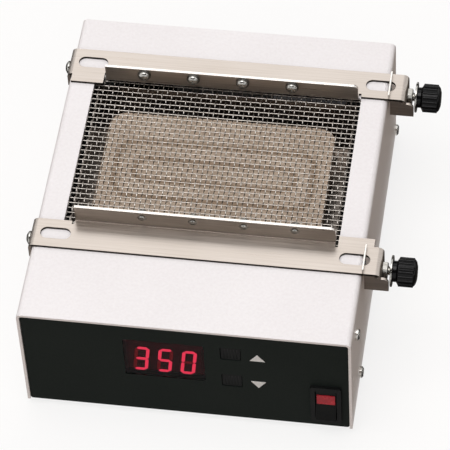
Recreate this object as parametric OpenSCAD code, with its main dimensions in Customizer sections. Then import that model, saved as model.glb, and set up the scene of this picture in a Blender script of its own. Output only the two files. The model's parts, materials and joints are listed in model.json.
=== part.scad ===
// PCB preheater: bent sheet case with a ceramic heater under a wire guard and two sliding board rails
// Millimetres, Z up, front towards -Y, origin at the floor under the middle of the whole outline

/* [Case] */
// Width of the case
case_w = 172; // [168:1:180]
// Depth of the case, front to back
case_d = 204; // [200:1:216]
// Height of the case sheet, without the feet
case_h = 73; // [70:1:80]
// Thickness of the case sheet
case_t = 1.5; // [1.2:0.1:1.8]
// Outside radius of the case bends
case_bend = 3; // [2.5:0.1:4]
// Height of the rubber feet
foot_h = 4; // [3:0.5:8]
// Radius of a foot
foot_r = 9; // [7:0.5:11]
// Thickness of the base sheet
pan_t = 1.2; // [1:0.1:1.6]

/* [Heater opening] */
// Width of the opening in the top
open_w = 144; // [130:1:145]
// Depth of the opening in the top
open_d = 104; // [96:1:106]
// Middle of the opening behind the middle of the case
open_y = 9.8; // [8:0.1:11]
// Pitch of the guard wires across the width
mesh_px = 2.67; // [2.4:0.01:4]
// Pitch of the guard wires along the depth
mesh_py = 3.27; // [2.6:0.01:4]
// Radius of a guard wire
wire_r = 0.3; // [0.25:0.01:0.4]
// Width of the guard's hidden border, front and back
mesh_rim = 6; // [5:0.5:8]

/* [Heater] */
// Length of the ceramic heater
heater_w = 122; // [112:1:124]
// Depth of the ceramic heater
heater_d = 76; // [70:1:78]
// Corner radius of the heater
heater_r = 9; // [6:0.5:12]
// Thickness of the heater slab
heater_t = 7.5; // [6:0.5:9]
// Drop of the heater face under the case top
heater_drop = 7.5; // [7:0.5:9]
// Middle of the heater behind the middle of the case
heater_y = 7; // [5:0.5:9]
// Height of the reflector floor over the base sheet
tray_z = 40; // [36:1:42]

/* [Front panel] */
// Thickness of the front panel
panel_t = 2; // [1.5:0.1:2.5]
// Setback of the panel behind the case edge
panel_set = 0.8; // [0.4:0.1:1.5]
// Width of the display window
window_w = 42; // [40:1:46]
// Height of the display window
window_h = 30; // [27:1:32]
// Middle of the window from the middle of the case
window_x = -11; // [-16:1:-9]
// Height of the window middle over the case bottom
window_z = 44.5; // [42:0.5:46]
// Height of a display figure
digit_h = 19.6; // [16:0.2:21]
// Width of a display figure
digit_w = 7.6; // [6.6:0.2:8.4]
// Pitch of the display figures
digit_pitch = 12.3; // [11.5:0.1:12.7]
// Lean of the display figures in degrees
digit_lean = 6.4; // [0:0.1:10]
// Width of a button hole
button_w = 10.8; // [9:0.1:11.5]
// Height of a button hole
button_h = 10.4; // [9:0.1:11.5]
// Middle of the buttons from the middle of the case
button_x = 23.8; // [22.5:0.1:26]
// Height of the upper button over the case bottom
up_z = 54.8; // [53:0.1:57]
// Height of the lower button over the case bottom
down_z = 32; // [30:0.1:34]
// Gap round a button
button_gap = 0.4; // [0.3:0.05:0.5]
// Middle of the rocker switch from the middle of the case
rocker_x = 72.5; // [71:0.5:73]
// Height of the rocker switch middle over the case bottom
rocker_z = 19.9; // [19:0.1:22]
// Width of the switch bezel
rocker_w = 16; // [15:0.2:17]
// Height of the switch bezel
rocker_h = 30; // [28:0.5:31]

/* [Board rails] */
// Thickness of the rail sheet
rail_t = 1.5; // [1.2:0.1:1.6]
// Outside radius of the rail bends
rail_bend = 3; // [2.8:0.1:3.4]
// Depth of a rail, outer edge to flange face
rail_d = 20.2; // [19.5:0.1:21.5]
// Width of the narrow end tab
tab_narrow = 17.9; // [17:0.1:18.5]
// Width of the wide end tab
tab_wide = 23.1; // [22:0.1:24]
// Height of the flange over the case top
flange_h = 11.8; // [10.5:0.1:14]
// Left end of the flange
flange_x0 = -65.8; // [-66.4:0.1:-64]
// Right end of the flange
flange_x1 = 70.5; // [69:0.1:71]
// Outer edge of the rear rail
rear_edge = 79; // [77:0.5:81]
// Outer edge of the front rail
front_edge = -57.2; // [-59:0.2:-55]
// Length of the end slots
slot_len = 16; // [14:0.1:16.4]
// Width of the end slots
slot_w = 7.2; // [6.6:0.1:7.6]
// Pitch of the support screws along a rail
support_pitch = 26.6; // [25:0.1:27]
// Radius of a support screw head
support_head_r = 3.1; // [2.6:0.1:3.2]

/* [Thumb screw clamps] */
// Reach of the bracket wall beyond the case side
wall_reach = 9.9; // [9.4:0.1:11]
// Drop of the bracket below the case top
bracket_drop = 11.3; // [10.8:0.1:12]
// Drop of the screw line below the case top
screw_drop = 5.6; // [5.4:0.1:5.9]
// Radius of the thumb screw
screw_r = 2.42; // [2:0.02:2.44]
// Running clearance of the thumb screw
screw_gap = 0.08; // [0.04:0.02:0.1]
// Radius of the clamp washer
washer_r = 8.2; // [7:0.1:9]
// Radius of the knob grip
knob_r = 7.75; // [7:0.05:9]
// Length of the knob grip
knob_len = 8; // [6:0.5:10]
// Number of ribs on the knob
knob_ribs = 18; // [12:1:20]

/* [Inside pieces] */
// Width of the transformer core
core_w = 40; // [36:1:44]
// Depth of the transformer core
core_d = 20; // [16:1:22]
// Height of the transformer core
core_h = 34; // [30:1:40]
// Thickness of the core's yokes
core_yoke = 6; // [5:0.5:7]
// Width of the heat sink
sink_w = 64; // [50:1:70]
// Height of the heat sink
sink_h = 28; // [20:1:32]
// Length of a heat sink fin
fin_len = 14; // [8:1:16]
// Thickness of a heat sink fin
fin_t = 2; // [1.5:0.1:2.5]
// Thickness of the control board
board_t = 1.6; // [1.2:0.1:2]
// Width of the mains inlet flange
inlet_w = 50; // [48:1:52]
// Height of the mains inlet flange
inlet_h = 24; // [23:1:28]
// Thickness of the mains inlet flange
inlet_t = 3; // [2:0.5:4]
// Middle of the mains inlet from the middle of the case
inlet_x = -50; // [-54:1:-40]
// Radius of the small screws
thread_r = 1.48; // [1.3:0.02:1.5]

/* [Hidden] */
$fn = 64;
e = 0.01;
// Clearance of a tapped hole, a screw hole and a slide-in piece
tap_gap = 0.07;
hole_gap = 0.22;
slip = 0.2;
tapped_r = thread_r + tap_gap;
clear_r = thread_r + hole_gap;
foot_screw_r = 1.85;
support_r = 2.3;
support_tip_r = 1.4;
support_seat = 0.7;
support_washer_t = 0.8;
rivet_r = 1.52;
nut_t = 2.4;
stud_len = 6.4;
top_z = foot_h + case_h;
in_top = top_z - case_t;
side_x = case_w / 2;
in_x = side_x - case_t;
front_y = -case_d / 2;
back_y = case_d / 2;
pan_x = in_x - slip;
pan_top = foot_h + pan_t;
side_screws = [[front_y + 18.5, foot_h + 58], [front_y + 31, foot_h + 8], [back_y - 6, foot_h + 8]];
foot_x = side_x - 20;
foot_y = back_y - 18;
wire_gap = 0.04;
mesh_t = 4 * wire_r + wire_gap;
mesh_z = in_top - mesh_t;
frame_t = 1.5;
frame_z = mesh_z - frame_t;
frame_x = in_x - 0.5;
frame_y = open_d / 2 + mesh_rim;
tray_floor = pan_top + tray_z;
tray_half = open_d / 2 - 2.5;
tray_foot = tray_half - 8;
tray_x = open_w / 2 - 2;
heat_top = top_z - heater_drop;
heat_bottom = heat_top - heater_t;
groove_w = 2.8;
groove_t = 1.2;
boss_bottom = tray_floor - 12;
post_x = tray_x - 12;
post_y = tray_foot - 9;
panel_y = front_y + panel_set;
panel_back = panel_y + panel_t;
panel_x = in_x - slip;
panel_z0 = foot_h + slip;
panel_z1 = in_top - slip;
board_gap = 9.7;
board_y = panel_back + board_gap;
display_y = panel_back + 1;
board_z0 = foot_h + down_z - 12;
board_z1 = foot_h + up_z + 13.2;
board_x0 = window_x - 31;
board_x1 = button_x + 26.2;
hole_in = 4;
board_holes = [for (x = [board_x0 + hole_in, board_x1 - hole_in], z = [board_z0 + 3, board_z1 - 3]) [x, z]];
stud_xs = [20 - side_x, -20, 40];
stud_z = foot_h + 6;
pivot_y = panel_y + 1.6;
pivot_z = foot_h + rocker_z;
rocker_tilt = 7;
cap_w = rocker_w - 5.4;
cap_half = rocker_h / 2 - 3.8;
inlet_z = foot_h + 26;
inlet_body_w = inlet_w - 23;
inlet_body_h = inlet_h - 3.8;
inlet_deep = 20;
inlet_mouth = 15;
inlet_wall = 1.5;
inlet_screw_x = inlet_w / 2 - 5;
wall_x = side_x + wall_reach;
hook_x = -side_x - 0.25;
hook_drop = 8.6;
slot_left = -74.6;
slot_right = side_x - 4.5;
screw_v = tab_narrow / 2;
screw_z = top_z - screw_drop;
bore_r = screw_r + screw_gap;
support_z = top_z + flange_h - 3.9;
flange_r = 2.4;
flange_bend = rail_t + 0.6;
rear_supports = [for (i = [0:3]) -44.6 + i * support_pitch];
front_supports = [for (i = [0:3]) 49.4 - i * support_pitch];
washer_x = wall_x + 4.3;
plate_t = 1;
plate_x = side_x + 0.05;
right_end = washer_x + knob_len + 5.6;
left_end = hook_x - rail_t - 2.4;
near_end = pivot_y - (2.6 + cap_half * tan(rocker_tilt)) * cos(rocker_tilt) - cap_half * sin(rocker_tilt);
far_end = back_y + inlet_t + 2;
mid_x = (right_end + left_end) / 2;
mid_y = (near_end + far_end) / 2;

// Move to the middle of the whole outline
module placed() {
  translate([-mid_x, -mid_y, 0]) children();
}

// Box from two corners
module block(x0, x1, y0, y1, z0, z1) {
  translate([min(x0, x1), min(y0, y1), min(z0, z1)]) cube([abs(x1 - x0), abs(y1 - y0), abs(z1 - z0)]);
}

// Rod along X, Y or Z from a start point
module rod_x(x0, x1, y, z, r) {
  translate([min(x0, x1), y, z]) rotate([0, 90, 0]) cylinder(h = abs(x1 - x0), r = r);
}
module rod_y(x, y0, y1, z, r) {
  translate([x, min(y0, y1), z]) rotate([-90, 0, 0]) cylinder(h = abs(y1 - y0), r = r);
}
module rod_z(x, y, z0, z1, r) {
  translate([x, y, min(z0, z1)]) cylinder(h = abs(z1 - z0), r = r);
}

// Block with rounded upright corners
module soft_block(x, y, w, d, r, z0, z1) {
  block(x - w / 2 + r, x + w / 2 - r, y - d / 2, y + d / 2, z0, z1);
  block(x - w / 2, x + w / 2, y - d / 2 + r, y + d / 2 - r, z0, z1);
  for (i = [-1, 1], j = [-1, 1]) rod_z(x + i * (w / 2 - r), y + j * (d / 2 - r), z0, z1, r);
}

// Block facing the front with rounded corners
module soft_face(x, z, w, h, r, y0, y1) {
  block(x - w / 2 + r, x + w / 2 - r, y0, y1, z - h / 2, z + h / 2);
  block(x - w / 2, x + w / 2, y0, y1, z - h / 2 + r, z + h / 2 - r);
  for (i = [-1, 1], j = [-1, 1]) rod_y(x + i * (w / 2 - r), y0, y1, z + j * (h / 2 - r), r);
}

// Quarter bend of sheet running along Y about a line at x and z
module bend_y(x, z, y0, y1, r, t, sx, sz) {
  intersection() {
    difference() {
      rod_y(x, y0, y1, z, r);
      rod_y(x, min(y0, y1) - 1, max(y0, y1) + 1, z, r - t);
    }
    block(x, x + sx * r, y0, y1, z, z + sz * r);
  }
}

// Quarter bend of sheet running along X about a line at y and z
module bend_x(y, z, x0, x1, r, t, sy, sz) {
  intersection() {
    difference() {
      rod_x(x0, x1, y, z, r);
      rod_x(min(x0, x1) - 1, max(x0, x1) + 1, y, z, r - t);
    }
    block(x0, x1, y, y + sy * r, z, z + sz * r);
  }
}

// Pan head with a cross recess, axis along +Z, seat at zero
module pan_head(r, h) {
  difference() {
    union() {
      cylinder(h = h * 0.62, r = r);
      translate([0, 0, h * 0.62]) cylinder(h = h * 0.38, r1 = r, r2 = r * 0.66);
    }
    for (a = [0, 90]) rotate([0, 0, a]) translate([-r * 0.5, -r * 0.11, h * 0.45]) cube([r, r * 0.22, h]);
  }
}

// Round head with a cross recess, axis along +Z
module dome_head(r, h) {
  difference() {
    union() {
      cylinder(h = h * 0.3, r = r);
      translate([0, 0, h * 0.3]) cylinder(h = h * 0.3, r1 = r, r2 = r * 0.88);
      translate([0, 0, h * 0.6]) cylinder(h = h * 0.25, r1 = r * 0.88, r2 = r * 0.66);
      translate([0, 0, h * 0.85]) cylinder(h = h * 0.15, r1 = r * 0.66, r2 = r * 0.36);
    }
    for (a = [0, 90]) rotate([0, 0, a]) translate([-r * 0.5, -r * 0.11, h * 0.5]) cube([r, r * 0.22, h]);
  }
}

// Hexagon with its bore, axis along +Z
module hex_nut(across, h, bore) {
  difference() {
    cylinder(h = h, r = across / 2 / cos(30), $fn = 6);
    translate([0, 0, -1]) cylinder(h = h + 2, r = bore);
  }
}

module case_cover() color([0.93, 0.92, 0.92]) placed() difference() {
  union() {
    block(-side_x + case_bend, side_x - case_bend, front_y, back_y, in_top, top_z);
    for (s = [-1, 1]) {
      block(s * in_x, s * side_x, front_y, back_y, foot_h, top_z - case_bend);
      bend_y(s * (side_x - case_bend), top_z - case_bend, front_y, back_y, case_bend, case_t, s, 1);
    }
  }
  soft_block(0, open_y, open_w, open_d, 2, in_top - 1, top_z + 1);
  for (s = [-1, 1], q = side_screws) rod_x(s * (in_x - 1), s * (side_x + 1), q[0], q[1], clear_r);
}

module base_pan() color([0.62, 0.62, 0.62]) placed() difference() {
  union() {
    block(-pan_x, pan_x, panel_back, back_y, foot_h, pan_top);
    block(-pan_x, pan_x, back_y - pan_t, back_y, foot_h, top_z - case_bend);
    block(case_bend - side_x, side_x - case_bend, back_y - pan_t, back_y, foot_h, in_top - slip);
    block(-78, rocker_x - rocker_w / 2 - 3, panel_back, panel_back + pan_t, foot_h, foot_h + 12);
    for (s = [-1, 1]) block(s * pan_x, s * (pan_x - pan_t), front_y + 26, back_y, foot_h, foot_h + 16);
  }
  for (s = [-1, 1], i = [1, 2])
    rod_x(s * (pan_x - pan_t - 1), s * (pan_x + 1), side_screws[i][0], side_screws[i][1], tapped_r);
  for (x = stud_xs) rod_y(x, panel_back - 1, panel_back + pan_t + 1, stud_z, clear_r);
  for (i = [-1, 1], j = [-1, 1])
    rod_z(i * foot_x, j * foot_y, foot_h - 1, pan_top + 1, foot_screw_r + 0.1);
  block(inlet_x - inlet_body_w / 2 - slip, inlet_x + inlet_body_w / 2 + slip, back_y - pan_t - 1, back_y + 1,
    inlet_z - inlet_body_h / 2 - slip, inlet_z + inlet_body_h / 2 + slip);
  for (s = [-1, 1]) rod_y(inlet_x + s * inlet_screw_x, back_y - pan_t - 1, back_y + 1, inlet_z, tapped_r);
  for (i = [0:9]) soft_face(-4.5 + i * 7.5, foot_h + 50, 3, 22, 1.45, back_y - pan_t - 1, back_y + 1);
  for (i = [-3:3]) soft_block(i * 12, -30, 4, 30, 1.95, foot_h - 1, pan_top + 1);
}

module front_panel() color([0.1, 0.1, 0.1]) placed() difference() {
  union() {
    soft_face(0, (panel_z0 + panel_z1) / 2, 2 * panel_x, panel_z1 - panel_z0, 1.2, panel_y, panel_back);
    for (s = [-1, 1])
      block(s * panel_x, s * (panel_x - 1.5), panel_back - e, front_y + 24, foot_h + 51, foot_h + 65);
    for (x = stud_xs) rod_y(x, panel_back - e, panel_back + stud_len, stud_z, thread_r);
  }
  soft_face(window_x, foot_h + window_z, window_w, window_h, 0.8, panel_y - 1, panel_back + 1);
  for (z = [up_z, down_z])
    soft_face(button_x, foot_h + z, button_w, button_h, 1, panel_y - 1, panel_back + 1);
  block(rocker_x - rocker_w / 2 + 1.3, rocker_x + rocker_w / 2 - 1.3, panel_y - 1, panel_back + 1,
    pivot_z - rocker_h / 2 + 1.3, pivot_z + rocker_h / 2 - 1.3);
  for (s = [-1, 1])
    rod_x(s * (panel_x - 3), s * (panel_x + 1), side_screws[0][0], side_screws[0][1], tapped_r);
}

module panel_nuts() color([0.75, 0.75, 0.75]) placed() for (x = stud_xs)
  translate([x, panel_back + pan_t, stud_z]) rotate([-90, 0, 0]) hex_nut(5.5, nut_t, tapped_r);

module feet() color([0.08, 0.08, 0.08]) placed() for (i = [-1, 1], j = [-1, 1]) difference() {
  translate([i * foot_x, j * foot_y, 0]) cylinder(h = foot_h, r1 = foot_r - 1, r2 = foot_r);
  rod_z(i * foot_x, j * foot_y, -1, foot_h / 2 + 0.2, 4.4);
  rod_z(i * foot_x, j * foot_y, -1, foot_h + 1, foot_screw_r + 0.25);
}

module foot_screws() color([0.75, 0.75, 0.75]) placed() for (i = [-1, 1], j = [-1, 1]) {
  rod_z(i * foot_x, j * foot_y, foot_h / 2 - 1.2, foot_h / 2 + 0.2, 3.8);
  rod_z(i * foot_x, j * foot_y, foot_h / 2, pan_top + 4, foot_screw_r);
}

module cover_screws() color([0.8, 0.8, 0.8]) placed() for (s = [-1, 1], q = side_screws) {
  translate([s * side_x, q[0], q[1]]) rotate([0, s * 90, 0]) pan_head(3.2, 2.2);
  rod_x(s * (side_x - 6), s * (side_x + e), q[0], q[1], thread_r);
}

// Two crossing layers of wire: the lower runs front to back, the upper across
module guard_mesh() color([0.6, 0.6, 0.6]) placed() {
  half_w = frame_x - 2;
  half_d = frame_y - 2;
  nx = floor(2 * half_w / mesh_px);
  ny = floor(2 * half_d / mesh_py);
  for (i = [0:nx - 1])
    rod_y((i - (nx - 1) / 2) * mesh_px, open_y - half_d, open_y + half_d, mesh_z + wire_r, wire_r);
  for (j = [0:ny - 1])
    rod_x(-half_w, half_w, open_y + (j - (ny - 1) / 2) * mesh_py, in_top - wire_r, wire_r);
}

module mesh_frame() color([0.7, 0.7, 0.7]) placed() difference() {
  soft_block(0, open_y, 2 * frame_x, 2 * frame_y, 3, frame_z, mesh_z);
  soft_block(0, open_y, open_w + 2, open_d + 2, 2, frame_z - 1, mesh_z + 1);
}

module reflector_tray() color([0.85, 0.85, 0.83]) placed() difference() {
  union() {
    translate([-tray_x, open_y, 0]) rotate([90, 0, 90]) linear_extrude(2 * tray_x) polygon([
      [-tray_foot, tray_floor], [tray_foot, tray_floor], [tray_half, frame_z], [tray_half - 1.05, frame_z],
      [tray_foot - 0.7, tray_floor + 1], [-tray_foot + 0.7, tray_floor + 1], [-tray_half + 1.05, frame_z],
      [-tray_half, frame_z]]);
    for (x = [-tray_x, tray_x - 1]) translate([x, open_y, 0]) rotate([90, 0, 90]) linear_extrude(1)
      polygon([[-tray_foot, tray_floor], [tray_foot, tray_floor],
        [tray_half, frame_z], [-tray_half, frame_z]]);
  }
  block(-16.5, 16.5, heater_y - 8.5, heater_y + 8.5, tray_floor - 1, tray_floor + 2);
  for (i = [-1, 1], j = [-1, 1])
    rod_z(i * post_x, open_y + j * post_y, tray_floor - 1, tray_floor + 2, clear_r);
}

module tray_posts() color([0.8, 0.8, 0.8]) placed() for (i = [-1, 1], j = [-1, 1])
  translate([i * post_x, open_y + j * post_y, pan_top]) difference() {
    cylinder(h = tray_floor - pan_top, r = 3.6, $fn = 6);
    translate([0, 0, tray_floor - pan_top - 10]) cylinder(h = 11, r = tapped_r);
  }

module tray_screws() color([0.8, 0.8, 0.8]) placed() for (i = [-1, 1], j = [-1, 1])
  translate([i * post_x, open_y + j * post_y, tray_floor + 1]) {
    pan_head(2.9, 2);
    translate([0, 0, -7]) cylinder(h = 7 + e, r = thread_r);
  }

// One closed groove in the heater face
module groove(w, d, r) difference() {
  soft_block(0, heater_y, w + groove_w, d + groove_w, r + groove_w / 2, heat_top - groove_t, heat_top + 1);
  soft_block(0, heater_y, w - groove_w, d - groove_w, r - groove_w / 2, heat_top - 3, heat_top + 2);
}

module ceramic_heater() color([0.75, 0.69, 0.62]) placed() difference() {
  union() {
    soft_block(0, heater_y, heater_w, heater_d, heater_r, heat_bottom + 1.2, heat_top - 1);
    soft_block(0, heater_y, heater_w - 2, heater_d - 2, heater_r - 1, heat_bottom, heat_top);
    soft_block(0, heater_y, 40, 24, 3, tray_floor + 1, heat_bottom + 1);
    soft_block(0, heater_y, 32, 16, 2, boss_bottom, tray_floor + 2);
  }
  groove(heater_w * 0.86, heater_d * 0.5, heater_d * 0.13);
  groove(heater_w * 0.7, heater_d * 0.185, heater_d * 0.085);
  for (s = [-1, 1]) {
    block(-17, 17, heater_y + s * 6, heater_y + s * 9, tray_floor - 1.6, tray_floor);
    rod_z(s * 9, heater_y, boss_bottom - 1, boss_bottom + 5, 1.3);
  }
}

module heater_clip() color([0.75, 0.75, 0.75]) placed() difference() {
  block(-22, 20, heater_y - 12, heater_y + 12, tray_floor - 1.4, tray_floor);
  block(-23, 16.6, heater_y - 6.2, heater_y + 6.2, tray_floor - 3, tray_floor + 1);
}

module heater_leads() color([0.72, 0.7, 0.66]) placed() for (s = [-1, 1])
  rod_z(s * 9, heater_y, pan_top + 8, boss_bottom + 5, 1.2);

module terminal_block() color([0.9, 0.88, 0.83]) placed() difference() {
  block(-18, 18, heater_y - 11, heater_y + 11, pan_top, pan_top + 16);
  for (s = [-1, 1]) {
    rod_z(s * 9, heater_y, pan_top + 8, pan_top + 17, 1.4);
    for (t = [-1, 1]) rod_z(s * 9, heater_y + t * 6.5, pan_top + 9, pan_top + 17, 2.4);
  }
}

module terminal_screws() color([0.8, 0.65, 0.3]) placed() for (s = [-1, 1], t = [-1, 1]) difference() {
  rod_z(s * 9, heater_y + t * 6.5, pan_top + 9, pan_top + 15, 2.2);
  block(s * 9 - 3, s * 9 + 3, heater_y + t * 6.5 - 0.4, heater_y + t * 6.5 + 0.4,
    pan_top + 13.8, pan_top + 16);
}

module control_board() color([0.12, 0.35, 0.18]) placed() difference() {
  block(board_x0, board_x1, board_y, board_y + board_t, board_z0, board_z1);
  for (q = board_holes) rod_y(q[0], board_y - 1, board_y + board_t + 1, q[1], clear_r);
}

module board_posts() color([0.8, 0.8, 0.8]) placed() for (q = board_holes)
  translate([q[0], panel_back, q[1]]) rotate([-90, 0, 0]) difference() {
    cylinder(h = board_gap, r = 2.9, $fn = 6);
    translate([0, 0, 3]) cylinder(h = board_gap, r = tapped_r);
  }

module board_screws() color([0.8, 0.8, 0.8]) placed() for (q = board_holes)
  translate([q[0], board_y + board_t, q[1]]) rotate([-90, 0, 0]) {
    pan_head(2.7, 1.8);
    translate([0, 0, -6]) cylinder(h = 6 + e, r = thread_r);
  }

module display_module() color([0.15, 0.15, 0.15]) placed()
  block(window_x - window_w / 2 + 1.5, window_x + window_w / 2 - 1.5, display_y, board_y,
    foot_h + window_z - window_h / 2 + 1.5, foot_h + window_z + window_h / 2 - 1.5);

module display_window() color([0.2, 0.05, 0.05, 0.8]) placed() {
  soft_face(window_x, foot_h + window_z, window_w - 0.2, window_h - 0.2, 0.7,
    panel_y + 0.3, panel_back + 0.2);
  soft_face(window_x, foot_h + window_z, window_w + 3, window_h + 3, 0.7, panel_back, panel_back + 0.6);
}

// Outline of a bar of a figure, pointed at both ends, leaning with the figure
function bar_points(len, t) = [[-len / 2, 0], [-len / 2 + t / 2, t / 2], [len / 2 - t / 2, t / 2],
  [len / 2, 0], [len / 2 - t / 2, -t / 2], [-len / 2 + t / 2, -t / 2]];
function upright(p) = [-p[1], p[0]];
function leaning(p) = [p[0] + p[1] * tan(digit_lean), p[1]];

// Bars of one figure: top, upper right, lower right, bottom, lower left, upper left, middle
module figure(lit) {
  t = 1.7;
  hw = (digit_w - t) / 2;
  hh = (digit_h - t) / 4;
  spots = [[0, 2 * hh], [hw, hh], [hw, -hh], [0, -2 * hh], [-hw, -hh], [-hw, hh], [0, 0]];
  flat_bars = [0, 3, 6];
  for (i = [0:6]) if (lit[i] == 1) {
    flat = len(search(i, flat_bars)) > 0;
    outline = bar_points((flat ? 2 * hw : 2 * hh) - 0.4, t);
    polygon([for (p = outline) leaning(spots[i] + (flat ? p : upright(p)))]);
  }
}

module display_segments() color([0.9, 0.2, 0.35]) placed() {
  shown = [[1, 1, 1, 1, 0, 0, 1], [1, 0, 1, 1, 0, 1, 1], [1, 1, 1, 1, 1, 1, 0]];
  for (i = [0:2]) translate([window_x + (i - 1) * digit_pitch, display_y, foot_h + window_z - 3.3])
    rotate([90, 0, 0]) linear_extrude(0.3) figure(shown[i]);
}

// Button cap with its flange behind the panel and its stem
module button(z) {
  difference() {
    soft_face(button_x, z, button_w - 2 * button_gap, button_h - 2 * button_gap, 0.8,
      panel_y + 0.4, panel_back + e);
    for (i = [-2:2]) rod_z(button_x + i * 1.6, panel_y + 0.15, z - 3.6, z + 3.6, 0.45);
  }
  soft_face(button_x, z, button_w + 1.6, button_h + 1.6, 0.8, panel_back, panel_back + 1.2);
  rod_y(button_x, panel_back + 1, board_y - 6, z, 2);
}

module up_button() color([0.09, 0.09, 0.09]) placed() button(foot_h + up_z);
module down_button() color([0.09, 0.09, 0.09]) placed() button(foot_h + down_z);

module tact_switches() color([0.2, 0.2, 0.2]) placed() for (z = [up_z, down_z]) {
  block(button_x - 6, button_x + 6, board_y - 3.6, board_y, foot_h + z - 6, foot_h + z + 6);
  rod_y(button_x, board_y - 4.8, board_y - 3, foot_h + z, 3.4);
}

module arrow_marks() color([0.8, 0.8, 0.8]) placed()
  for (q = [[up_z, 1], [down_z, -1]]) translate([button_x + 13.8, panel_y, foot_h + q[0] - q[1] * 2.6 - 1.2])
    rotate([90, 0, 0]) linear_extrude(0.12) polygon([[-3.95, 0], [3.95, 0], [0, q[1] * 5.4]]);

module switch_frame() color([0.07, 0.07, 0.07]) placed() difference() {
  union() {
    soft_face(rocker_x, pivot_z, rocker_w, rocker_h, 1.4, panel_y - 1.8, panel_y);
    block(rocker_x - rocker_w / 2 + 1.5, rocker_x + rocker_w / 2 - 1.5, panel_y - 1, panel_y + 20,
      pivot_z - rocker_h / 2 + 1.5, pivot_z + rocker_h / 2 - 1.5);
  }
  block(rocker_x - cap_w / 2 - 0.3, rocker_x + cap_w / 2 + 0.3, panel_y - 4, panel_y + 9.5,
    pivot_z - cap_half - 0.9, pivot_z + cap_half + 0.9);
  rod_x(rocker_x - cap_w / 2 - 1, rocker_x + cap_w / 2 + 1, pivot_y, pivot_z, 1.25);
}

// Side outline of the rocker about its pivot, lower half standing out
module rocker_shape() polygon([[-2.6, 0], [-2.6 - cap_half * tan(rocker_tilt), cap_half], [0.6, cap_half],
  [4.4, 3.2], [4.4, -3.2], [0.6, -cap_half], [-2.6 - cap_half * tan(rocker_tilt), -cap_half]]);

// Put the rocker's own frame at its pivot, tilted as it stands
module tilted() {
  translate([rocker_x, pivot_y, pivot_z]) rotate([-rocker_tilt, 0, 0]) children();
}

module rocker() color([0.07, 0.07, 0.07]) placed() tilted() {
  difference() {
    translate([-cap_w / 2, 0, 0]) rotate([90, 0, 90]) linear_extrude(cap_w) rocker_shape();
    translate([0, -2.6, 0]) rotate([rocker_tilt, 0, 0])
      block(-cap_w / 2 + 0.4, cap_w / 2 - 0.4, -1, 1, 0.3, 7.9);
  }
  for (s = [-1, 1]) rod_x(s * (cap_w / 2 - 1), s * (cap_w / 2 + 0.9), 0, 0, 1.2);
}

module rocker_lens() color([0.7, 0.12, 0.15]) placed() tilted()
  translate([0, -2.6, 0]) rotate([rocker_tilt, 0, 0])
    block(-cap_w / 2 + 0.5, cap_w / 2 - 0.5, -0.4, 1, 0.4, 7.8);

module switch_tabs() color([0.78, 0.62, 0.35]) placed() for (i = [-1, 1])
  difference() {
    block(rocker_x - 2.4, rocker_x + 2.4, panel_y + 20, panel_y + 29,
      pivot_z + i * 6 - 0.4, pivot_z + i * 6 + 0.4);
    rod_z(rocker_x, panel_y + 26, pivot_z + i * 6 - 2, pivot_z + i * 6 + 2, 0.8);
  }

module power_inlet() color([0.08, 0.08, 0.08]) placed() difference() {
  mouth_w = inlet_body_w / 2 - inlet_wall;
  mouth_h = inlet_body_h / 2 - inlet_wall - 0.4;
  union() {
    soft_face(inlet_x, inlet_z, inlet_w, inlet_h, 5, back_y, back_y + inlet_t);
    block(inlet_x - inlet_body_w / 2, inlet_x + inlet_body_w / 2, back_y - inlet_deep, back_y + e,
      inlet_z - inlet_body_h / 2, inlet_z + inlet_body_h / 2);
  }
  difference() {
    block(inlet_x - mouth_w, inlet_x + mouth_w, back_y - inlet_mouth, back_y + inlet_t + 2,
      inlet_z - mouth_h, inlet_z + mouth_h);
    for (s = [-1, 1]) translate([inlet_x + s * mouth_w, 0, inlet_z + mouth_h]) rotate([0, 45, 0])
      block(-3, 3, back_y - inlet_mouth - 1, back_y + inlet_t + 3, -3, 3);
  }
  for (s = [-1, 1]) rod_y(inlet_x + s * inlet_screw_x, back_y - 1, back_y + inlet_t + 1, inlet_z, clear_r);
}

module inlet_pins() color([0.8, 0.8, 0.78]) placed() for (q = [[-7, -2], [0, 2], [7, -2]])
  block(inlet_x + q[0] - 1, inlet_x + q[0] + 1, back_y - inlet_mouth, back_y - 2.5,
    inlet_z + q[1] - 2, inlet_z + q[1] + 2);

module inlet_screws() color([0.8, 0.8, 0.8]) placed() for (s = [-1, 1])
  translate([inlet_x + s * inlet_screw_x, back_y + inlet_t, inlet_z]) rotate([-90, 0, 0]) {
    pan_head(3, 2);
    translate([0, 0, -inlet_t - 5]) cylinder(h = inlet_t + 5 + e, r = thread_r);
  }

// Transformer behind the heater: windows in the core take the coil
core_x = 40;
core_y = back_y - 18;
core_leg = 16;
coil_t = 5.8;
module transformer_core() color([0.45, 0.45, 0.46]) placed() difference() {
  block(core_x - core_w / 2, core_x + core_w / 2, core_y - core_d / 2, core_y + core_d / 2,
    pan_top, pan_top + core_h);
  for (s = [-1, 1])
    block(core_x + s * core_leg / 2, core_x + s * (core_leg / 2 + coil_t + slip),
      core_y - core_d, core_y + core_d, pan_top + core_yoke, pan_top + core_h - core_yoke);
}

module transformer_coil() color([0.6, 0.35, 0.15]) placed() difference() {
  block(core_x - core_leg / 2 - coil_t, core_x + core_leg / 2 + coil_t,
    core_y - core_d / 2 - coil_t / 2, core_y + core_d / 2 + coil_t / 2,
    pan_top + core_yoke, pan_top + core_h - core_yoke - slip);
  block(core_x - core_leg / 2 - slip, core_x + core_leg / 2 + slip,
    core_y - core_d / 2 - slip, core_y + core_d / 2 + slip, pan_top, pan_top + core_h);
}

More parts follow.
